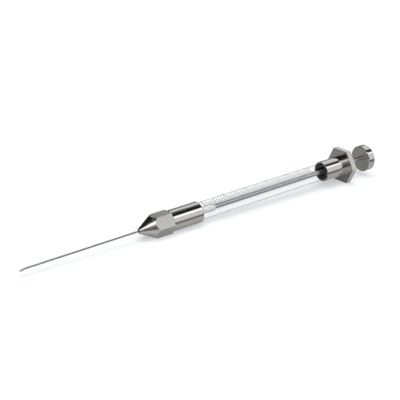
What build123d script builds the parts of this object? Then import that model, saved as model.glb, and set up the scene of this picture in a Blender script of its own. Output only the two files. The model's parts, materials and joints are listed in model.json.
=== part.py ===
"""A 500 microlitre gas-tight microsyringe with a screwed-on needle, lying on a table.

All turned pieces share one axis.  Places along it are stations: millimetres from the zero mark
of the scale, negative towards the needle, positive towards the plunger button.  The syringe
rests on one flat of its flange and one flat of its needle nut, so the axis leans nose-down.
"""

import os
from math import atan2, cos, degrees, pi, radians, sin, sqrt, tan

from build123d import *

# ---------------------------------------------------------------- driving dimensions, mm
SCALE_LENGTH = 60.0
SCALE_VOLUME = 500.0

GLASS_DIAMETER = 8.0
BORE_DIAMETER = round(2 * sqrt(SCALE_VOLUME / (pi * SCALE_LENGTH)), 3)
GLASS_FRONT = -10.0
GLASS_REAR = 79.5
GLASS_EDGE_BREAK = 0.25

SLEEVE_DIAMETER = 9.5
CEMENT_GAP = 0.04
EDGE_BREAK = 0.12

FRONT_SLEEVE_REAR = -1.9
FRONT_SLEEVE_SHOULDER = -17.0
STUB_DIAMETER = 6.0
STUB_FRONT = -23.5
STUB_RELIEF_DIAMETER = 5.2
STUB_RELIEF_LENGTH = 0.8
STUB_BORE = 4.0
STUB_LEAD_IN = 0.4

REAR_SLEEVE_FRONT = 68.8
FLANGE_FRONT = 80.5
FLANGE_THICKNESS = 2.7
FLANGE_ACROSS_FLATS = 15.65
ROD_HOLE = 2.6
ROD_HOLE_LEAD_IN = 0.3

NUT_REAR = -17.05
NUT_TIP = -32.05
NUT_TIP_DIAMETER = 2.15
NUT_ACROSS_FLATS = 9.36
NUT_CONE_HALF_ANGLE = 29.6
NUT_THREAD_BORE = 6.1
NUT_THREAD_END = -24.2
NUT_NEEDLE_HOLE = 1.1
NUT_SEAT_GAP = 0.04

HUB_DIAMETER = 3.8
HUB_REAR = -18.0
HUB_CONE_START = -24.6
HUB_NOSE_DIAMETER = 1.5
HUB_NOSE = -27.6
HUB_GROOVE_WIDTH = 0.6
HUB_GROOVE_DEPTH = 0.25

SEAL_DIAMETER = 3.9
SEAL_NOSE_DIAMETER = 3.237
SEAL_NEEDLE_HOLE = 0.76

NEEDLE_DIAMETER = 0.72
NEEDLE_BORE = 0.41
NEEDLE_BEND = -84.2
NEEDLE_BEND_ANGLE = 15.5
NEEDLE_BEND_RADIUS = 2.0
NEEDLE_POINT_LENGTH = 2.1
NEEDLE_BEVEL_ANGLE = 32.0

ROD_DIAMETER = 2.25
TIP_DIAMETER = 3.237
TIP_LENGTH = 6.4
TIP_SEAL_LAND = 1.2
TIP_WAIST_DIAMETER = 3.14
SPIGOT_DIAMETER = 1.4
SPIGOT_LENGTH = 3.2

BUTTON_DIAMETER = 12.45
BUTTON_FRONT = 93.85
BUTTON_THICKNESS = 3.65
BUTTON_EDGE_BREAK = 0.2
BUTTON_SOCKET_DEPTH = 2.6

# ---------------------------------------------------------------- the needle's bent point
# Pairs are (station, height above the axis).
bend_angle = radians(NEEDLE_BEND_ANGLE)
bend_end = (
    NEEDLE_BEND - NEEDLE_BEND_RADIUS * sin(bend_angle),
    -NEEDLE_BEND_RADIUS * (1 - cos(bend_angle)),
)
point_end = (
    bend_end[0] - NEEDLE_POINT_LENGTH * cos(bend_angle),
    bend_end[1] - NEEDLE_POINT_LENGTH * sin(bend_angle),
)
# The bevel is ground on the underside and leaves its point on the upper wall of the tube.
crown = (
    point_end[0] - NEEDLE_DIAMETER / 2 * sin(bend_angle),
    point_end[1] + NEEDLE_DIAMETER / 2 * cos(bend_angle),
)
bevel_length = 1.5 * NEEDLE_DIAMETER / sin(radians(NEEDLE_BEVEL_ANGLE))
bevel_direction = bend_angle - radians(NEEDLE_BEVEL_ANGLE)
bevel_heel = (
    crown[0] + bevel_length * cos(bevel_direction),
    crown[1] + bevel_length * sin(bevel_direction),
)
below_point = (crown[0], crown[1] - bevel_length)

# ---------------------------------------------------------------- how it lies on the table
flange_drop = FLANGE_ACROSS_FLATS / 2
nut_drop = NUT_ACROSS_FLATS / 2
cone_slope = tan(radians(NUT_CONE_HALF_ANGLE))
nut_contact = NUT_TIP + (nut_drop - NUT_TIP_DIAMETER / 2) / cone_slope
lean = atan2(flange_drop - nut_drop, FLANGE_FRONT + EDGE_BREAK - nut_contact)

# The origin is under the middle of the whole length, on the table.
button_rear = BUTTON_FRONT + BUTTON_THICKNESS
button_rim_drop = BUTTON_DIAMETER / 2 - BUTTON_EDGE_BREAK
front_reach = crown[0] * cos(lean) - crown[1] * sin(lean)
rear_reach = button_rear * cos(lean) + button_rim_drop * sin(lean)
zero_mark_x = -(front_reach + rear_reach) / 2
zero_mark_z = nut_drop * cos(lean) - nut_contact * sin(lean)

zero_mark = (zero_mark_x, 0, zero_mark_z)
along = (cos(lean), 0, sin(lean))
upward = (-sin(lean), 0, cos(lean))
syringe_axis = Axis(zero_mark, along)
# Sketch x runs along the syringe and sketch y is the radius.
profile = Plane(origin=zero_mark, x_dir=along, z_dir=(0, -1, 0))
# Sketch x is up and the plane's normal runs along the syringe.
section = Plane(origin=zero_mark, x_dir=upward, z_dir=along)


def write(part, node):
    """Label a finished piece and write it under its node name."""
    part.label = node
    export_step(part, f"parts/{node}.step")


os.makedirs("parts", exist_ok=True)
print(f"lean {degrees(lean):.3f} degrees, zero mark at x {zero_mark_x:.3f}, z {zero_mark_z:.3f}")

# ---------------------------------------------------------------- glass barrel
with BuildPart() as glass_barrel:
    with BuildSketch(profile) as barrel_wall:
        with BuildLine():
            FilletPolyline(
                (GLASS_FRONT, BORE_DIAMETER / 2),
                (GLASS_FRONT, GLASS_DIAMETER / 2),
                (GLASS_REAR, GLASS_DIAMETER / 2),
                (GLASS_REAR, BORE_DIAMETER / 2),
                radius=GLASS_EDGE_BREAK,
            )
            Line((GLASS_REAR, BORE_DIAMETER / 2), (GLASS_FRONT, BORE_DIAMETER / 2))
        make_face()
    revolve(axis=syringe_axis)
write(glass_barrel.part, "glass_barrel")

# ---------------------------------------------------------------- front sleeve and its stub
glass_socket_radius = GLASS_DIAMETER / 2 + CEMENT_GAP
with BuildPart() as front_sleeve:
    with BuildSketch(profile) as sleeve_wall:
        with BuildLine():
            Polyline(
                (GLASS_FRONT, STUB_BORE / 2),
                (STUB_FRONT, STUB_BORE / 2),
                (STUB_FRONT, STUB_DIAMETER / 2 - STUB_LEAD_IN),
                (STUB_FRONT + STUB_LEAD_IN, STUB_DIAMETER / 2),
                (FRONT_SLEEVE_SHOULDER - STUB_RELIEF_LENGTH, STUB_DIAMETER / 2),
                (FRONT_SLEEVE_SHOULDER - STUB_RELIEF_LENGTH, STUB_RELIEF_DIAMETER / 2),
                (FRONT_SLEEVE_SHOULDER, STUB_RELIEF_DIAMETER / 2),
                (FRONT_SLEEVE_SHOULDER, SLEEVE_DIAMETER / 2 - EDGE_BREAK),
                (FRONT_SLEEVE_SHOULDER + EDGE_BREAK, SLEEVE_DIAMETER / 2),
                (FRONT_SLEEVE_REAR - EDGE_BREAK, SLEEVE_DIAMETER / 2),
                (FRONT_SLEEVE_REAR, SLEEVE_DIAMETER / 2 - EDGE_BREAK),
                (FRONT_SLEEVE_REAR, glass_socket_radius),
                (GLASS_FRONT, glass_socket_radius),
                close=True,
            )
        make_face()
    revolve(axis=syringe_axis)
write(front_sleeve.part, "front_sleeve")

# ---------------------------------------------------------------- rear sleeve and hexagon flange
flange_rear = FLANGE_FRONT + FLANGE_THICKNESS
with BuildPart() as flange_sleeve:
    with BuildSketch(section.offset(FLANGE_FRONT)) as flange_outline:
        RegularPolygon(FLANGE_ACROSS_FLATS / 2, 6, major_radius=False, rotation=30)
    extrude(amount=FLANGE_THICKNESS)
    chamfer(flange_sleeve.edges().filter_by(syringe_axis, reverse=True), EDGE_BREAK)
    with BuildSketch(section.offset(REAR_SLEEVE_FRONT)) as sleeve_outline:
        Circle(SLEEVE_DIAMETER / 2)
    extrude(amount=FLANGE_FRONT - REAR_SLEEVE_FRONT)
    with BuildSketch(profile) as flange_bore:
        with BuildLine():
            Polyline(
                (REAR_SLEEVE_FRONT, 0),
                (REAR_SLEEVE_FRONT, glass_socket_radius),
                (GLASS_REAR, glass_socket_radius),
                (GLASS_REAR, ROD_HOLE / 2),
                (flange_rear - ROD_HOLE_LEAD_IN, ROD_HOLE / 2),
                (flange_rear, ROD_HOLE / 2 + ROD_HOLE_LEAD_IN),
                (flange_rear, 0),
                close=True,
            )
        make_face()
    revolve(axis=syringe_axis, mode=Mode.SUBTRACT)
write(flange_sleeve.part, "flange_sleeve")

# ---------------------------------------------------------------- needle nut
turned_radius = NUT_ACROSS_FLATS
turned_end = NUT_TIP + (turned_radius - NUT_TIP_DIAMETER / 2) / cone_slope
hub_slope = (HUB_DIAMETER - HUB_NOSE_DIAMETER) / 2 / (HUB_CONE_START - HUB_NOSE)
seat_radius = HUB_DIAMETER / 2 + NUT_SEAT_GAP
seat_end = HUB_CONE_START - (seat_radius - NUT_NEEDLE_HOLE / 2) / hub_slope
with BuildPart() as needle_nut:
    with BuildSketch(section.offset(NUT_TIP)) as bar_section:
        RegularPolygon(NUT_ACROSS_FLATS / 2, 6, major_radius=False, rotation=30)
    extrude(amount=NUT_REAR - NUT_TIP)
    with BuildSketch(profile) as turned_outline:
        with BuildLine():
            Polyline(
                (NUT_TIP, 0),
                (NUT_TIP, NUT_TIP_DIAMETER / 2),
                (turned_end, turned_radius),
                (NUT_REAR, turned_radius),
                (NUT_REAR, 0),
                close=True,
            )
        make_face()
    revolve(axis=syringe_axis, mode=Mode.INTERSECT)
    with BuildSketch(profile) as nut_bore:
        with BuildLine():
            Polyline(
                (NUT_TIP, 0),
                (NUT_TIP, NUT_NEEDLE_HOLE / 2),
                (seat_end, NUT_NEEDLE_HOLE / 2),
                (HUB_CONE_START, seat_radius),
                (NUT_THREAD_END, seat_radius),
                (NUT_THREAD_END, NUT_THREAD_BORE / 2),
                (NUT_REAR, NUT_THREAD_BORE / 2),
                (NUT_REAR, 0),
                close=True,
            )
        make_face()
    revolve(axis=syringe_axis, mode=Mode.SUBTRACT)
write(needle_nut.part, "needle_nut")

# ---------------------------------------------------------------- needle hub, swaged on the tube
groove_middle = (HUB_REAR + HUB_CONE_START) / 2
with BuildPart() as needle_hub:
    with BuildSketch(profile) as hub_wall:
        with BuildLine():
            Polyline(
                (HUB_NOSE, NEEDLE_DIAMETER / 2),
                (HUB_NOSE, HUB_NOSE_DIAMETER / 2),
                (HUB_CONE_START, HUB_DIAMETER / 2),
                (groove_middle - HUB_GROOVE_WIDTH / 2, HUB_DIAMETER / 2),
                (groove_middle - HUB_GROOVE_WIDTH / 2, HUB_DIAMETER / 2 - HUB_GROOVE_DEPTH),
                (groove_middle + HUB_GROOVE_WIDTH / 2, HUB_DIAMETER / 2 - HUB_GROOVE_DEPTH),
                (groove_middle + HUB_GROOVE_WIDTH / 2, HUB_DIAMETER / 2),
                (HUB_REAR, HUB_DIAMETER / 2),
                (HUB_REAR, NEEDLE_DIAMETER / 2),
                close=True,
            )
        make_face()
    revolve(axis=syringe_axis)
write(needle_hub.part, "needle_hub")

# ---------------------------------------------------------------- needle seal
with BuildPart() as needle_seal:
    with BuildSketch(profile) as seal_wall:
        with BuildLine():
            Polyline(
                (HUB_REAR, SEAL_NEEDLE_HOLE / 2),
                (HUB_REAR, SEAL_DIAMETER / 2),
                (GLASS_FRONT, SEAL_DIAMETER / 2),
                (GLASS_FRONT, SEAL_NOSE_DIAMETER / 2),
                (0, SEAL_NOSE_DIAMETER / 2),
                (0, SEAL_NEEDLE_HOLE / 2),
                close=True,
            )
        make_face()
    revolve(axis=syringe_axis)
write(needle_seal.part, "needle_seal")

# ---------------------------------------------------------------- needle tube with bent point
with BuildPart() as needle_cannula:
    with BuildLine(profile) as needle_route:
        Line((0, 0), (NEEDLE_BEND, 0))
        CenterArc((NEEDLE_BEND, -NEEDLE_BEND_RADIUS), NEEDLE_BEND_RADIUS, 90, NEEDLE_BEND_ANGLE)
        Line(bend_end, point_end)
    with BuildSketch(Plane(origin=zero_mark, z_dir=along)) as tube_section:
        Circle(NEEDLE_DIAMETER / 2)
        Circle(NEEDLE_BORE / 2, mode=Mode.SUBTRACT)
    sweep(path=needle_route.wires()[0])
    with BuildSketch(profile) as bevel:
        with BuildLine():
            Polyline(crown, bevel_heel, below_point, close=True)
        make_face()
    extrude(amount=NEEDLE_DIAMETER, both=True, mode=Mode.SUBTRACT)
write(needle_cannula.part, "needle_cannula")

# ---------------------------------------------------------------- plunger
tip_rear = TIP_LENGTH
with BuildPart() as plunger_rod:
    with BuildSketch(profile) as rod_outline:
        with BuildLine():
            Polyline(
                (tip_rear - SPIGOT_LENGTH, 0),
                (tip_rear - SPIGOT_LENGTH, SPIGOT_DIAMETER / 2),
                (tip_rear, SPIGOT_DIAMETER / 2),
                (tip_rear, ROD_DIAMETER / 2),
                (BUTTON_FRONT + BUTTON_SOCKET_DEPTH, ROD_DIAMETER / 2),
                (BUTTON_FRONT + BUTTON_SOCKET_DEPTH, 0),
                close=True,
            )
        make_face()
    revolve(axis=syringe_axis)
write(plunger_rod.part, "plunger_rod")

with BuildPart() as plunger_tip:
    with BuildSketch(profile) as tip_wall:
        with BuildLine():
            Polyline(
                (0, 0),
                (0, TIP_DIAMETER / 2),
                (TIP_SEAL_LAND, TIP_DIAMETER / 2),
                (TIP_SEAL_LAND, TIP_WAIST_DIAMETER / 2),
                (tip_rear - TIP_SEAL_LAND, TIP_WAIST_DIAMETER / 2),
                (tip_rear - TIP_SEAL_LAND, TIP_DIAMETER / 2),
                (tip_rear, TIP_DIAMETER / 2),
                (tip_rear, SPIGOT_DIAMETER / 2),
                (tip_rear - SPIGOT_LENGTH, SPIGOT_DIAMETER / 2),
                (tip_rear - SPIGOT_LENGTH, 0),
                close=True,
            )
        make_face()
    revolve(axis=syringe_axis)
write(plunger_tip.part, "plunger_tip")

with BuildPart() as plunger_button:
    with BuildSketch(section.offset(BUTTON_FRONT)) as button_outline:
        Circle(BUTTON_DIAMETER / 2)
    extrude(amount=BUTTON_THICKNESS)
    chamfer(plunger_button.edges(), BUTTON_EDGE_BREAK)
    with BuildSketch(section.offset(BUTTON_FRONT)) as rod_socket:
        Circle(ROD_DIAMETER / 2)
    extrude(amount=BUTTON_SOCKET_DEPTH, mode=Mode.SUBTRACT)
write(plunger_button.part, "plunger_button")
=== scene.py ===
# %% [markdown]
# # A 500 microlitre gas-tight microsyringe
# The CAD model is the fixed frame: every piece here is in metres, in that same frame, and rides
# on one of its bodies. Along the syringe, places are stations, measured from the zero mark of
# the scale: negative towards the needle, positive towards the plunger button.

import json
import math

import bmesh
import bpy
import numpy as np
from mathutils import Matrix, Vector


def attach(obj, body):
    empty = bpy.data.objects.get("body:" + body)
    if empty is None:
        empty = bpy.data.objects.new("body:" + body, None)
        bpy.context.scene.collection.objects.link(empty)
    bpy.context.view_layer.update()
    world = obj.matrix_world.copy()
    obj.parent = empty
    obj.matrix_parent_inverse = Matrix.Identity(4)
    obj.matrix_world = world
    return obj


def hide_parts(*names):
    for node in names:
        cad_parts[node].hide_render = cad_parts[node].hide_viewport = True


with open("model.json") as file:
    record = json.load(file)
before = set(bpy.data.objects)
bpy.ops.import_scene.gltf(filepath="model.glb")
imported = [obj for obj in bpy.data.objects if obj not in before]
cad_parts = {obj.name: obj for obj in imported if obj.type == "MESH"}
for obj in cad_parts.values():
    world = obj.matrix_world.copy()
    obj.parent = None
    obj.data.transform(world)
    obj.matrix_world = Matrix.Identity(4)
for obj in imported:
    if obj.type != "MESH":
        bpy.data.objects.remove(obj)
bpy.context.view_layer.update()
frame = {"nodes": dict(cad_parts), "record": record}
MM = 0.001
scene = bpy.context.scene
print("nodes:", sorted(frame["nodes"]))

# %% [markdown]
# ## The axis
# The syringe lies on a flat of its flange and a flat of its needle nut, so its axis leans a
# little nose-down. The plunger's joint in the record says which way the axis runs, and the
# middle of the button's rear face, a mount in the record, is a point on it.

# %% The axis from the record
BUTTON_REAR = 97.5 * MM

record = frame["record"]
slide = next(j for j in record["behaviour"]["joints"] if j["name"] == "plunger_slide")
button_face = next(m for m in record["mounts"] if m["name"] == "button_face")
along = np.array(slide["axis"], float)
along /= np.linalg.norm(along)
side = np.array([0.0, -1.0, 0.0])
upward = np.cross(side, along)
zero_mark = np.array(button_face["pos_m"], float) - BUTTON_REAR * along
print("along", along.round(5), "zero mark", zero_mark.round(5))

# %% [markdown]
# ## Turned surfaces
# Most pieces were turned on a lathe, so one helper carries an outline of (station, radius)
# points round the axis. A turn angle of 0 is straight up, and 90 degrees faces the -Y side.


# %% A place from station, radius and turn angle
def place(station, radius, turn):
    """zero mark + station along the axis + radius (cos turn up + sin turn sideways)."""
    station, radius, turn = np.broadcast_arrays(station, radius, turn)
    outward = np.cos(turn)[..., None] * upward + np.sin(turn)[..., None] * side
    return zero_mark + station[..., None] * along + radius[..., None] * outward


def new_piece(name, vertices, faces, body, sharp_degrees=30):
    """A mesh object at the origin from vertex and face arrays, shaded smooth up to an angle."""
    mesh = bpy.data.meshes.new(name)
    mesh.from_pydata(vertices.reshape(-1, 3).tolist(), [], [f.tolist() for f in faces])
    mesh.polygons.foreach_set("use_smooth", np.ones(len(mesh.polygons), bool))
    mesh.set_sharp_from_angle(angle=math.radians(sharp_degrees))
    mesh.update()
    piece = bpy.data.objects.new(name, mesh)
    scene.collection.objects.link(piece)
    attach(piece, body)
    return piece


def grid_faces(rows, columns, wrap_rows, wrap_columns):
    """Four-cornered faces of a grid of rows x columns points, closed on itself where it wraps."""
    row, column = np.meshgrid(
        np.arange(rows if wrap_rows else rows - 1),
        np.arange(columns if wrap_columns else columns - 1),
        indexing="ij",
    )
    next_row, next_column = (row + 1) % rows, (column + 1) % columns
    corners = [(row, column), (row, next_column), (next_row, next_column), (next_row, column)]
    return np.stack([r * columns + c for r, c in corners], -1).reshape(-1, 4)


def turned_piece(name, outline, body, sides=128, sharp_degrees=30):
    """An outline of (station, radius) turned round the axis: outer side first, travelling towards
    the plunger. An outline that starts and ends on the axis is closed by a fan of triangles
    at each end, and any other outline closes on itself, back along its bore."""
    station, radius = np.array(outline, float).T
    turn = np.arange(sides) * 2 * np.pi / sides
    solid = radius[0] == 0 and radius[-1] == 0
    rows = slice(1, -1) if solid else slice(None)
    vertices = place(station[rows, None], radius[rows, None], turn[None, :]).reshape(-1, 3)
    faces = list(grid_faces(len(station[rows]), sides, not solid, True))
    if solid:
        first, last = len(vertices), len(vertices) + 1
        ends = place(station[[0, -1]], np.zeros(2), np.zeros(2))
        vertices = np.vstack([vertices, ends])
        column = np.arange(sides)
        following = (column + 1) % sides
        final_row = first - sides
        faces += list(np.stack([np.full(sides, first), following, column], -1))
        last_ring = (final_row + column, final_row + following)
        faces += list(np.stack([np.full(sides, last), *last_ring], -1))
    return new_piece(name, vertices, faces, body, sharp_degrees)


# %% [markdown]
# ## Shader maths as Python
# A material is easier to read when its sums look like sums. `Value` wraps a socket, and each
# operator adds the Math node that does it.


# %% A socket that can be added and multiplied
class Value:
    """A number that varies over a surface. Python operators on it add Math nodes."""

    def __init__(self, graph, socket):
        self.graph, self.socket = graph, socket

    def maths(self, operation, *values):
        """The result of a Math node with this operation on the values."""
        node = self.graph.node("ShaderNodeMath", {"operation": operation}, dict(enumerate(values)))
        return Value(self.graph, node.outputs[0])

    def __add__(self, other):
        return self.maths("ADD", self, other)

    def __radd__(self, other):
        return self.maths("ADD", other, self)

    def __sub__(self, other):
        return self.maths("SUBTRACT", self, other)

    def __rsub__(self, other):
        return self.maths("SUBTRACT", other, self)

    def __mul__(self, other):
        return self.maths("MULTIPLY", self, other)

    def __rmul__(self, other):
        return self.maths("MULTIPLY", other, self)

    def __truediv__(self, other):
        return self.maths("DIVIDE", self, other)

    def step(self, low, high):
        """0 below low, 1 above high, and a smooth rise between them."""
        settings = {"interpolation_type": "SMOOTHSTEP"}
        node = self.graph.node("ShaderNodeMapRange", settings, {0: self, 1: low, 2: high})
        return Value(self.graph, node.outputs[0])

    def band(self, low, high, soft):
        """1 between low and high, and 0 outside, with soft edges."""
        return self.step(low - soft, low + soft) * (1 - self.step(high - soft, high + soft))


class Graph:
    """The node tree of a material or the world."""

    def __init__(self, owner):
        owner.use_nodes = True
        self.tree = owner.node_tree
        self.tree.nodes.clear()

    def node(self, kind, settings=(), inputs=()):
        """Adds a node, sets its settings, then gives its inputs their values or links."""
        made = self.tree.nodes.new(kind)
        for key, value in dict(settings).items():
            setattr(made, key, value)
        for key, value in dict(inputs).items():
            if isinstance(value, Value):
                value = value.socket
            if isinstance(value, bpy.types.NodeSocket):
                self.tree.links.new(value, made.inputs[key])
            else:
                made.inputs[key].default_value = value
        return made

    def value(self, node, output=0):
        """One output of a node, ready for sums."""
        return Value(self, node.outputs[output])

    def dot(self, vector, direction):
        """How far a vector reaches along a direction."""
        settings = {"operation": "DOT_PRODUCT"}
        node = self.node("ShaderNodeVectorMath", settings, {0: vector, 1: tuple(direction)})
        return self.value(node, "Value")

    def mix(self, factor, low, high):
        """A colour between low and high."""
        inputs = {"Factor": factor, 6: low, 7: high}
        return self.node("ShaderNodeMix", {"data_type": "RGBA"}, inputs).outputs[2]


# %% [markdown]
# ## The studio
# Polished metal is nothing but a picture of its surroundings, so the lighting is drawn by
# direction: a long softbox in front and above, a pale wall on the right that reaches highest
# behind the plunger, a darker wall on the left, and black behind the needle and overhead, which
# gives the dark streak along every turned piece. A soft light straight overhead puts the
# shadow under the syringe.

# %% Strengths of light, where 1 is white
OVERHEAD = 3.9
SOFTBOX = 1.6
RIGHT_WALL = 0.89
LEFT_WALL = 0.34
CEILING = 0.02
BELOW = 0.60

# %% Bearings in degrees from +Y towards +X: the middle, the half width and the soft ends
SOFTBOX_TOWARD = (-172, 66, 6)
LIFT_TOWARD = (-120, 50, 20)
RIGHT_WALL_TOWARD = (98, 67, 8)
LEFT_WALL_TOWARD = (-140, 55, 10)
HIGH_WALL_TOWARD = (55, 45, 25)
DARK_FOOT_TOWARD = (35, 40, 15)
FRONT_EDGE_TOWARD = (140, 70, 15)
NEAR_EDGE_TOWARD = (-150, 35, 12)
LEFT_EDGE_TOWARD = (-43, 45, 15)

# %% Elevations in degrees, with the softness last where there are three
SOFTBOX_LOW = 33.3
SOFTBOX_HIGH = 49.5
SOFTBOX_LIFT = 10
SOFTBOX_SOFT = 1.5
OVERHEAD_RISE = (66, 70)
WALL_HEIGHT = 34
WALL_LIFT = 22
WALL_SOFT = 7
DARK_FOOT = (-8, 19, 3)
HORIZON = (-6, -1)
FRONT_EDGE = (-23, -7, 4)
NEAR_EDGE = (-12, 9, 4)
LEFT_EDGE = (-40, 0, 5)
STEEP_BELOW = (-62, -48)

# %% Shares of light taken away, and the last one added
DARK_FOOT_SHARE = 0.85
FRONT_EDGE_SHARE = 0.98
NEAR_EDGE_SHARE = 0.9
LEFT_EDGE_SHARE = 0.68
STEEP_SHARE = 0.25
NEAR_BOOST = 0.3

# %% Direction of a ray
world = bpy.data.worlds.new("studio")
scene.world = world
sky = Graph(world)
direction = sky.node("ShaderNodeTexCoord").outputs["Generated"]
parts = sky.node("ShaderNodeSeparateXYZ", {}, {0: direction})
east, north, height = (sky.value(parts, i) for i in range(3))
elevation = height.maths("ARCSINE", height) * (180 / math.pi)
bearing = east.maths("ARCTAN2", east, north) * (180 / math.pi)
print("sky uses", len(sky.tree.nodes), "nodes so far")


def toward(compass, half_width, soft):
    """1 for bearings within half_width degrees of compass, 0 beyond, with soft edges."""
    turned = (bearing - compass) * (math.pi / 180)
    angle = turned.maths("ARCCOSINE", turned.maths("COSINE", turned)) * (180 / math.pi)
    return 1 - angle.step(half_width - soft, half_width + soft)


# %% Above the horizon
softbox_top = SOFTBOX_HIGH + SOFTBOX_LIFT * toward(*LIFT_TOWARD)
softbox = elevation.band(SOFTBOX_LOW, softbox_top, SOFTBOX_SOFT) * toward(*SOFTBOX_TOWARD)
overhead = elevation.step(*OVERHEAD_RISE)
wall = RIGHT_WALL * toward(*RIGHT_WALL_TOWARD) + LEFT_WALL * toward(*LEFT_WALL_TOWARD)
wall_top = WALL_HEIGHT + WALL_LIFT * toward(*HIGH_WALL_TOWARD)
past_wall = elevation.step(wall_top - WALL_SOFT, wall_top + WALL_SOFT)
dark_foot = elevation.band(*DARK_FOOT) * toward(*DARK_FOOT_TOWARD)
lower_wall = wall * (1 - past_wall) * (1 - DARK_FOOT_SHARE * dark_foot)
above = lower_wall + SOFTBOX * softbox + OVERHEAD * overhead + CEILING
print("sky uses", len(sky.tree.nodes), "nodes above the horizon")

# %% Below the horizon
# The table ends, and past its edge the room is dark. A camera sees none of that: its own rays
# find plain white wherever they pass the sheet.
front_edge = elevation.band(*FRONT_EDGE) * toward(*FRONT_EDGE_TOWARD)
near_edge = elevation.band(*NEAR_EDGE) * toward(*NEAR_EDGE_TOWARD)
left_edge = elevation.band(*LEFT_EDGE) * toward(*LEFT_EDGE_TOWARD)
steep = 1 - STEEP_SHARE + STEEP_SHARE * elevation.step(*STEEP_BELOW)
ground = BELOW * (1 - FRONT_EDGE_SHARE * front_edge) * (1 - LEFT_EDGE_SHARE * left_edge) * steep
ground = ground * (1 + NEAR_BOOST * toward(*NEAR_EDGE_TOWARD))
below_horizon = 1 - elevation.step(*HORIZON)
light = (above + (ground - above) * below_horizon) * (1 - NEAR_EDGE_SHARE * near_edge)
seen = sky.value(sky.node("ShaderNodeLightPath"), "Is Camera Ray")
background = sky.node("ShaderNodeBackground", {}, {"Strength": light + seen * (1 - light)})
background.inputs["Color"].default_value = (1.0, 1.0, 1.0, 1.0)
sky.node("ShaderNodeOutputWorld", {}, {"Surface": background.outputs[0]})
print("sky done with", len(sky.tree.nodes), "nodes")

# %% [markdown]
# ## The table
# A plain white sheet. The camera and the glass see it as white with the syringe's soft shadow
# on it: a diffuse sheet, with a veil of light added for camera rays and for rays through glass.
# Polished metal sees the sheet faintly, and through it the lower half of the studio.

# %% White sheet
SHEET_HALF = 3.0
SHEET_ALBEDO = 0.60
VEIL = 0.455
VEIL_COLOUR = (0.965, 1.0, 1.03, 1)
SHEET_IN_METAL = 0.35

corners = np.array([[-1, -1, 0], [1, -1, 0], [1, 1, 0], [-1, 1, 0]], float) * SHEET_HALF
sheet_mesh = bpy.data.meshes.new("table_sheet")
sheet_mesh.from_pydata(corners.tolist(), [], [(0, 1, 2, 3)])
table_sheet = bpy.data.objects.new("table_sheet", sheet_mesh)
scene.collection.objects.link(table_sheet)

sheet = bpy.data.materials.new("white_sheet")
graph = Graph(sheet)
path = graph.node("ShaderNodeLightPath")
seen = graph.value(path, "Is Camera Ray")
through = graph.value(path, "Is Transmission Ray")
mirrored = graph.value(path, "Is Glossy Ray") * (1 - through) * (1 - SHEET_IN_METAL)
diffuse = graph.node("ShaderNodeBsdfDiffuse", {}, {"Color": (*[SHEET_ALBEDO] * 3, 1)})
glow = VEIL * seen.maths("MAXIMUM", seen, through)
veil = graph.node("ShaderNodeEmission", {}, {"Color": VEIL_COLOUR, "Strength": glow})
paper = graph.node("ShaderNodeAddShader", {}, {0: diffuse.outputs[0], 1: veil.outputs[0]})
clear = graph.node("ShaderNodeBsdfTransparent")
either = graph.node(
    "ShaderNodeMixShader", {}, {0: mirrored, 1: paper.outputs[0], 2: clear.outputs[0]}
)
graph.node("ShaderNodeOutputMaterial", {}, {"Surface": either.outputs[0]})
sheet_mesh.materials.append(sheet)

# %% [markdown]
# ## The camera
# A long lens looks from the needle's side, a little above the table.

# %% Camera
CAMERA_PLACE = (-0.2238952, -0.3191306, 0.1642541)
CAMERA_AZIMUTH = math.radians(-34.3133)
CAMERA_ELEVATION = math.radians(21.6821)
CAMERA_ROLL = math.radians(-1.7928)
CAMERA_LENS = 86.8134

back = Vector((
    math.sin(CAMERA_AZIMUTH) * math.cos(CAMERA_ELEVATION),
    -math.cos(CAMERA_AZIMUTH) * math.cos(CAMERA_ELEVATION),
    math.sin(CAMERA_ELEVATION),
))
level_right = Vector((math.cos(CAMERA_AZIMUTH), math.sin(CAMERA_AZIMUTH), 0))
level_up = back.cross(level_right)
right = level_right * math.cos(CAMERA_ROLL) + level_up * math.sin(CAMERA_ROLL)
up = level_up * math.cos(CAMERA_ROLL) - level_right * math.sin(CAMERA_ROLL)
lens = bpy.data.cameras.new("camera")
lens.lens = CAMERA_LENS
lens.sensor_width = 36
lens.clip_start = 0.01
camera = bpy.data.objects.new("camera", lens)
camera.matrix_world = Matrix((
    (right.x, up.x, back.x, CAMERA_PLACE[0]),
    (right.y, up.y, back.y, CAMERA_PLACE[1]),
    (right.z, up.z, back.z, CAMERA_PLACE[2]),
    (0, 0, 0, 1),
))
scene.collection.objects.link(camera)
scene.camera = camera
scene.view_settings.view_transform = "Standard"

# %% [markdown]
# ## Finishes
# The nut, both sleeves and the button are turned from brass and nickel plated to a mirror. A
# lathe leaves rings far finer than the eye can part, so they show only as a faint unevenness
# of the reflections along the piece. End faces are cut across with a coarser feed, so they
# are a little duller, and so are the ground rod and the drawn needle.


# %% Metal finishes
TINT = 0.03
FACED = 0.08
RINGS_PER_MM = 9.0
RING_ROUGHNESS = 0.03
CLOUD_SCALE = 260.0
CLOUD_ROUGHNESS = 0.05


def principled(name, inputs):
    """A material with one Principled shader, and its graph to add detail to."""
    material = bpy.data.materials.new(name)
    made = Graph(material)
    shader = made.node("ShaderNodeBsdfPrincipled", {}, inputs)
    made.node("ShaderNodeOutputMaterial", {}, {"Surface": shader.outputs[0]})
    return material, made, shader


def station_of(made):
    """The station of a point on a piece, in millimetres."""
    here = made.node("ShaderNodeTexCoord").outputs["Object"]
    return (made.dot(here, along) - float(zero_mark @ along)) / MM


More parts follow.
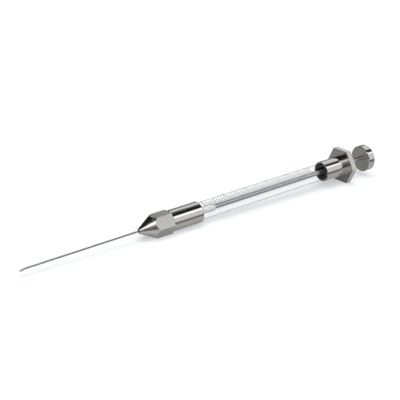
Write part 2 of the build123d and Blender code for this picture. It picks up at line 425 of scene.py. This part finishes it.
def turned_metal(name, colour, roughness, mark_depth):
    """Polished metal with the faint rings that a cutting tool leaves round a turned piece."""
    material, made, shader = principled(name, {"Metallic": 1.0})
    here = made.node("ShaderNodeTexCoord").outputs["Object"]
    ring_inputs = {"W": station_of(made) * RINGS_PER_MM, "Detail": 3.0}
    rings = made.node("ShaderNodeTexNoise", {"noise_dimensions": "1D"}, ring_inputs)
    cloud_inputs = {"Vector": here, "Scale": CLOUD_SCALE, "Detail": 4.0}
    clouds = made.node("ShaderNodeTexNoise", {}, cloud_inputs)
    ring, cloud = made.value(rings), made.value(clouds)
    pale = tuple(c * (1 + TINT) for c in colour)
    dark = tuple(c * (1 - TINT) for c in colour)
    tint = made.mix(cloud.step(0.3, 0.7), (*dark, 1), (*pale, 1))
    made.tree.links.new(tint, shader.inputs["Base Color"])
    normal = made.node("ShaderNodeNewGeometry").outputs["Normal"]
    end_face = made.dot(normal, along)
    end_face = (end_face * end_face).step(0.9, 0.98)
    marks = RING_ROUGHNESS * (ring - 0.5) + CLOUD_ROUGHNESS * cloud.step(0.55, 0.8)
    rough = roughness + FACED * end_face + marks
    made.tree.links.new(rough.socket, shader.inputs["Roughness"])
    bump_inputs = {"Height": ring, "Strength": 0.15, "Distance": mark_depth}
    bump = made.node("ShaderNodeBump", {}, bump_inputs)
    made.tree.links.new(bump.outputs[0], shader.inputs["Normal"])
    return material


nickel = turned_metal("polished_nickel", (0.60, 0.585, 0.565), 0.09, 2e-6)
rod_steel = turned_metal("ground_steel", (0.455, 0.46, 0.475), 0.24, 2e-6)
needle_steel = turned_metal("drawn_steel", (0.28, 0.27, 0.26), 0.25, 1e-6)
for node, finish in {
    "flange_sleeve": nickel,
    "needle_nut": nickel,
    "plunger_button": nickel,
    "needle_hub": rod_steel,
    "plunger_rod": rod_steel,
    "needle_cannula": needle_steel,
}.items():
    frame["nodes"][node].data.materials.clear()
    frame["nodes"][node].data.materials.append(finish)
print("metals:", [m.name for m in (nickel, rod_steel, needle_steel)])

# %% [markdown]
# ## Front sleeve with its thread
# The sleeve cemented on the glass has a stub with a fine M6 thread for the needle nut, which
# shows once the nut is screwed off. The groove is a function of station and turn: it follows
# the helix, and fades out before the relief at the shoulder and at the lead-in, which starts
# as deep as the relief.

# %% Threaded stub
PITCH = 0.75
STUB_FRONT = -23.5
STUB_RADIUS = 3.0
RELIEF_FRONT = -17.8
RELIEF_RADIUS = 2.6
SLEEVE_FRONT = -17.0
SLEEVE_REAR = -1.9
SLEEVE_RADIUS = 4.75
SOCKET_FLOOR = -10.0
SOCKET_RADIUS = 4.04
SEAL_SEAT_RADIUS = 2.0
BREAK = 0.12
THREAD_DEPTH = 0.40
THREAD_START = -23.1
THREAD_END = -17.95
FADE_IN = 0.5
FADE_OUT = 0.4
FLANK_GAIN = 1.25
CREST_FLAT = 0.12
THREAD_ROWS = 140
THREAD_SIDES = 96


def groove(station, turn):
    """Depth of the thread: a triangle wave of the helix's phase, clipped at crest and root,
    that fades in from the tip of the stub and out at the relief."""
    phase = station / PITCH - turn / (2 * np.pi)
    wave = 1 - 2 * np.abs(phase - np.floor(phase) - 0.5)
    profile = np.clip(wave * FLANK_GAIN - CREST_FLAT, 0, 1)
    fade = np.clip((station - THREAD_START) / FADE_IN, 0, 1)
    fade = fade * np.clip((THREAD_END - station) / FADE_OUT, 0, 1)
    return THREAD_DEPTH * profile * fade


before_thread = [
    (SOCKET_FLOOR, SEAL_SEAT_RADIUS), (STUB_FRONT, SEAL_SEAT_RADIUS), (STUB_FRONT, RELIEF_RADIUS),
]
thread_stations = np.linspace(THREAD_START, THREAD_END, THREAD_ROWS)
after_thread = [
    (RELIEF_FRONT, STUB_RADIUS), (RELIEF_FRONT, RELIEF_RADIUS), (SLEEVE_FRONT, RELIEF_RADIUS),
    (SLEEVE_FRONT, SLEEVE_RADIUS - BREAK), (SLEEVE_FRONT + BREAK, SLEEVE_RADIUS),
    (SLEEVE_REAR - BREAK, SLEEVE_RADIUS), (SLEEVE_REAR, SLEEVE_RADIUS - BREAK),
    (SLEEVE_REAR, SOCKET_RADIUS), (SOCKET_FLOOR, SOCKET_RADIUS),
]
thread_outline = [(station, STUB_RADIUS) for station in thread_stations]
stations, radii = np.array(before_thread + thread_outline + after_thread).T
turns = np.arange(THREAD_SIDES) * 2 * np.pi / THREAD_SIDES
first_row = len(before_thread)
cut = np.zeros((len(stations), THREAD_SIDES))
cut[first_row:first_row + THREAD_ROWS] = groove(thread_stations[:, None], turns[None, :])
sleeve_points = place(stations[:, None] * MM, (radii[:, None] - cut) * MM, turns[None, :])
sleeve_faces = grid_faces(len(stations), THREAD_SIDES, True, True)
threaded_sleeve = new_piece("threaded_sleeve", sleeve_points, sleeve_faces, "barrel")
threaded_sleeve.data.materials.append(nickel)
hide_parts("front_sleeve")
print("threaded sleeve:", len(threaded_sleeve.data.polygons), "faces")

# %% [markdown]
# ## PTFE
# The seal round the needle and the tip of the plunger are white PTFE, squeezed into the bore.
# Inside the glass the two white ends meet at the zero mark when the plunger is home. The tip
# is pushed over a thin spigot of the rod, and bears on the bore with a land at each end.

# %% Seal and plunger tip
TIP_RADIUS = 1.6185
TIP_LENGTH = 6.4
TIP_EDGE = 0.05
LAND = 1.2
LAND_SLOPE = 0.15
WAIST_RADIUS = 1.57
SPIGOT_RADIUS = 0.7
SPIGOT_FRONT = 3.2
SEAL_FRONT = -18.0
SEAL_STEP = -10.0
SEAL_RADIUS = 1.95
NEEDLE_HOLE = 0.38
PTFE_SHADE = (0.88, 0.88, 0.90, 1)
PTFE_WHITE = (0.95, 0.95, 0.96, 1)

ptfe, graph, shader = principled("white_ptfe", {})
here = graph.node("ShaderNodeTexCoord").outputs["Object"]
mottle_inputs = {"Vector": here, "Scale": 900.0, "Detail": 3.0}
mottle = graph.value(graph.node("ShaderNodeTexNoise", {}, mottle_inputs))
white = graph.mix(mottle.step(0.3, 0.7), PTFE_SHADE, PTFE_WHITE)
graph.tree.links.new(white, shader.inputs["Base Color"])
graph.tree.links.new((0.40 + 0.15 * mottle).socket, shader.inputs["Roughness"])
tip_outline = [
    (0.0, 0.0), (0.0, TIP_RADIUS - TIP_EDGE), (TIP_EDGE, TIP_RADIUS), (LAND, TIP_RADIUS),
    (LAND + LAND_SLOPE, WAIST_RADIUS), (TIP_LENGTH - LAND - LAND_SLOPE, WAIST_RADIUS),
    (TIP_LENGTH - LAND, TIP_RADIUS), (TIP_LENGTH - TIP_EDGE, TIP_RADIUS),
    (TIP_LENGTH, TIP_RADIUS - TIP_EDGE), (TIP_LENGTH, SPIGOT_RADIUS),
    (SPIGOT_FRONT, SPIGOT_RADIUS), (SPIGOT_FRONT, 0.0),
]
seal_outline = [
    (SEAL_FRONT, NEEDLE_HOLE), (SEAL_FRONT, SEAL_RADIUS), (SEAL_STEP, SEAL_RADIUS),
    (SEAL_STEP, TIP_RADIUS), (-TIP_EDGE, TIP_RADIUS), (0.0, TIP_RADIUS - TIP_EDGE),
    (0.0, NEEDLE_HOLE),
]
pressed_tip = turned_piece("pressed_tip", np.array(tip_outline) * MM, "plunger", 64)
pressed_seal = turned_piece("pressed_seal", np.array(seal_outline) * MM, "barrel", 64)
for piece, node in ((pressed_tip, "plunger_tip"), (pressed_seal, "needle_seal")):
    piece.data.materials.append(ptfe)
    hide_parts(node)
    print(piece.name, "stands for", node)

# %% [markdown]
# ## Glass barrel
# Borosilicate tube with a fire-polished edge at each end. A tube full of air, looked at from
# the side, mostly shows what is behind it, so the finish lets light straight through and adds
# a mirror at each of its surfaces: 3 per cent facing the eye, and all of it edge-on. Straight
# light costs a shadow, so rays that look for a lamp are weakened on their way through. Edge-on
# the mirror's colour is painted grey, a painted shade for the dark of the room that a real tube
# bends into view.

# %% Glass barrel
GLASS_RADIUS = 4.0
BORE_RADIUS = 1.6285
GLASS_FRONT = -10.0
GLASS_REAR = 79.5
GLASS_EDGE = 0.25
MIRROR_FACING = 0.03
SHADE = 0.16
# Painted shade: the grey the glass's mirror takes edge-on, in place of the dark room a real tube
# bends into view.
PAINTED_EDGE_SHADE = (0.22, 0.23, 0.24, 1)

glass = bpy.data.materials.new("barrel_glass")
graph = Graph(glass)
here = graph.node("ShaderNodeTexCoord").outputs["Object"]
smear_inputs = {"Vector": here, "Scale": 90.0, "Detail": 5.0}
smears = graph.value(graph.node("ShaderNodeTexNoise", {}, smear_inputs))
facing = graph.value(graph.node("ShaderNodeLayerWeight", {}, {"Blend": 0.5}), "Facing")
shadow_ray = graph.value(graph.node("ShaderNodeLightPath"), "Is Shadow Ray")
mirror = MIRROR_FACING + (1 - MIRROR_FACING) * facing.maths("POWER", facing, 5.0)
mirror = mirror + (1 - mirror) * SHADE * shadow_ray
polish = graph.node("ShaderNodeBsdfPrincipled", {}, {"Metallic": 1.0})
graph.tree.links.new((0.02 + 0.03 * smears.step(0.55, 0.85)).socket, polish.inputs["Roughness"])
pale = graph.mix(smears, (0.97, 0.98, 0.98, 1), (1.0, 1.0, 1.0, 1))
# Painted shade: the mirror colour goes from the pale smeared tint facing the eye to a painted grey
# edge-on.
smear_and_edge_shade_tint = graph.mix(facing.step(0.25, 0.7), pale, PAINTED_EDGE_SHADE)
graph.tree.links.new(smear_and_edge_shade_tint, polish.inputs["Base Color"])
clear = graph.node("ShaderNodeBsdfTransparent")
surface = graph.node(
    "ShaderNodeMixShader", {}, {0: mirror, 1: clear.outputs[0], 2: polish.outputs[0]}
)
graph.node("ShaderNodeOutputMaterial", {}, {"Surface": surface.outputs[0]})

turn_in = np.linspace(0, np.pi / 2, 7)
edge_along = GLASS_EDGE * (1 - np.cos(turn_in))
edge_down = GLASS_EDGE * (1 - np.sin(turn_in))
outline = [(GLASS_FRONT, BORE_RADIUS)]
outline += list(zip(GLASS_FRONT + edge_along, GLASS_RADIUS - edge_down))
outline += list(zip(GLASS_REAR - edge_along[::-1], GLASS_RADIUS - edge_down[::-1]))
outline += [(GLASS_REAR, BORE_RADIUS)]
clear_barrel = turned_piece("clear_barrel", np.array(outline) * MM, "barrel", 256)
clear_barrel.data.materials.append(glass)
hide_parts("glass_barrel")
print("glass outline:", len(outline), "points")

# %% [markdown]
# ## Scale
# Fifty divisions of 10 microlitres, with a longer line at every fifth one and a number beside
# every second long line. The lines are thin strips of fired enamel, bent to the glass and set
# a little into it. Numbers are made as text, turned into a mesh, cut into narrow strips and
# wrapped on. Turns are in degrees, and grow down the near side of the glass.

# %% Scale lines
CAPACITY = 500
SCALE_LENGTH = 60.0
DIVISIONS = 50
LONG_EVERY = 5
LINE_WIDTH = 0.30
MINOR_TURNS = (16.0, 44.0)
MAJOR_TURNS = (-2.0, 44.0)
ENAMEL_TOP = 0.012
ENAMEL_SINK = 0.006
LINE_STEPS = 12


def enamel_strip(stations, turns):
    """A closed bent slab for each line: (station, radius, turn) on a grid of section corners
    by steps along the line, with a face at each end."""
    half = LINE_WIDTH / 2
    corner_station = np.array([-half, -half, half, half])
    corner_radius = GLASS_RADIUS + np.array([-ENAMEL_SINK, ENAMEL_TOP, ENAMEL_TOP, -ENAMEL_SINK])
    step = np.linspace(0, 1, LINE_STEPS)
    start, end = turns[:, 0, None], turns[:, 1, None]
    turn = np.radians(start + (end - start) * step)
    points = place(
        (stations[:, None, None] + corner_station[None, None, :]) * MM,
        corner_radius[None, None, :] * MM,
        turn[:, :, None],
    )
    tube = grid_faces(LINE_STEPS, 4, False, True)[:, ::-1]
    count = 4 * LINE_STEPS
    caps = [[0, 1, 2, 3], [count - 1, count - 2, count - 3, count - 4]]
    one = np.vstack([tube, caps])
    faces = (one[None] + count * np.arange(len(stations))[:, None, None]).reshape(-1, 4)
    return points.reshape(-1, 3), faces


line = np.arange(DIVISIONS + 1)
line_stations = SCALE_LENGTH * line / DIVISIONS
line_turns = np.where((line % LONG_EVERY == 0)[:, None], MAJOR_TURNS, MINOR_TURNS)
points, faces = enamel_strip(line_stations, line_turns)
scale_lines = new_piece("scale_lines", points, faces, "barrel")
print("scale lines:", len(line), "at every", SCALE_LENGTH / DIVISIONS, "mm")

# %% Numbers
NUMBER_EVERY = 100
NUMBER_HEIGHT = 1.35
DIGIT_SHARE = 0.7
NUMBER_END_TURN = -6.0
LONGEST_NUMBER = 4.0
STRIP = 0.25


def wrapped_number(text, station):
    """Text made a slab, cut at every STRIP across, then wrapped: station = the line's station +
    height up the text, turn = end turn + distance across / glass radius."""
    curve = bpy.data.curves.new("number", "FONT")
    curve.body = text
    curve.size = NUMBER_HEIGHT / DIGIT_SHARE
    curve.align_x = "RIGHT"
    curve.align_y = "CENTER"
    curve.extrude = (ENAMEL_TOP + ENAMEL_SINK) / 2
    curve.resolution_u = 3
    holder = bpy.data.objects.new("number", curve)
    scene.collection.objects.link(holder)
    flat = bpy.data.meshes.new_from_object(holder)
    bpy.data.objects.remove(holder)
    shape = bmesh.new()
    shape.from_mesh(flat)
    bmesh.ops.remove_doubles(shape, verts=shape.verts, dist=1e-6)
    for cut_at in np.arange(-LONGEST_NUMBER, 0.0, STRIP):
        every = shape.verts[:] + shape.edges[:] + shape.faces[:]
        bmesh.ops.bisect_plane(shape, geom=every, plane_co=(cut_at, 0, 0), plane_no=(1, 0, 0))
    bmesh.ops.triangulate(shape, faces=shape.faces[:])
    shape.to_mesh(flat)
    shape.free()
    across, height, depth = np.array([v.co[:] for v in flat.vertices]).T
    faces = np.array([p.vertices[:] for p in flat.polygons])
    bpy.data.meshes.remove(flat)
    radius = GLASS_RADIUS + (ENAMEL_TOP - ENAMEL_SINK) / 2 + depth
    turn = math.radians(NUMBER_END_TURN) + across / GLASS_RADIUS
    return place((station + height) * MM, radius * MM, turn), faces


all_points, all_faces, count = [], [], 0
for reading in range(0, CAPACITY + 1, NUMBER_EVERY):
    points, faces = wrapped_number(str(reading), SCALE_LENGTH * reading / CAPACITY)
    all_points.append(points)
    all_faces.append(faces + count)
    count += len(points)
scale_numbers = new_piece("scale_numbers", np.vstack(all_points), np.vstack(all_faces), "barrel")
print("scale numbers:", len(scale_numbers.data.polygons), "faces")

# %% Enamel
ENAMEL_BLACK = (0.006, 0.006, 0.007, 1)
ENAMEL_WORN = (0.02, 0.02, 0.023, 1)

enamel, graph, shader = principled("scale_enamel", {"IOR": 1.5})
here = graph.node("ShaderNodeTexCoord").outputs["Object"]
speckle_inputs = {"Vector": here, "Scale": 6000.0, "Detail": 2.0}
speckle = graph.value(graph.node("ShaderNodeTexNoise", {}, speckle_inputs))
black = graph.mix(speckle.step(0.45, 0.75), ENAMEL_BLACK, ENAMEL_WORN)
graph.tree.links.new(black, shader.inputs["Base Color"])
graph.tree.links.new((0.42 + 0.2 * speckle).socket, shader.inputs["Roughness"])
for piece in (scale_lines, scale_numbers):
    piece.data.materials.append(enamel)
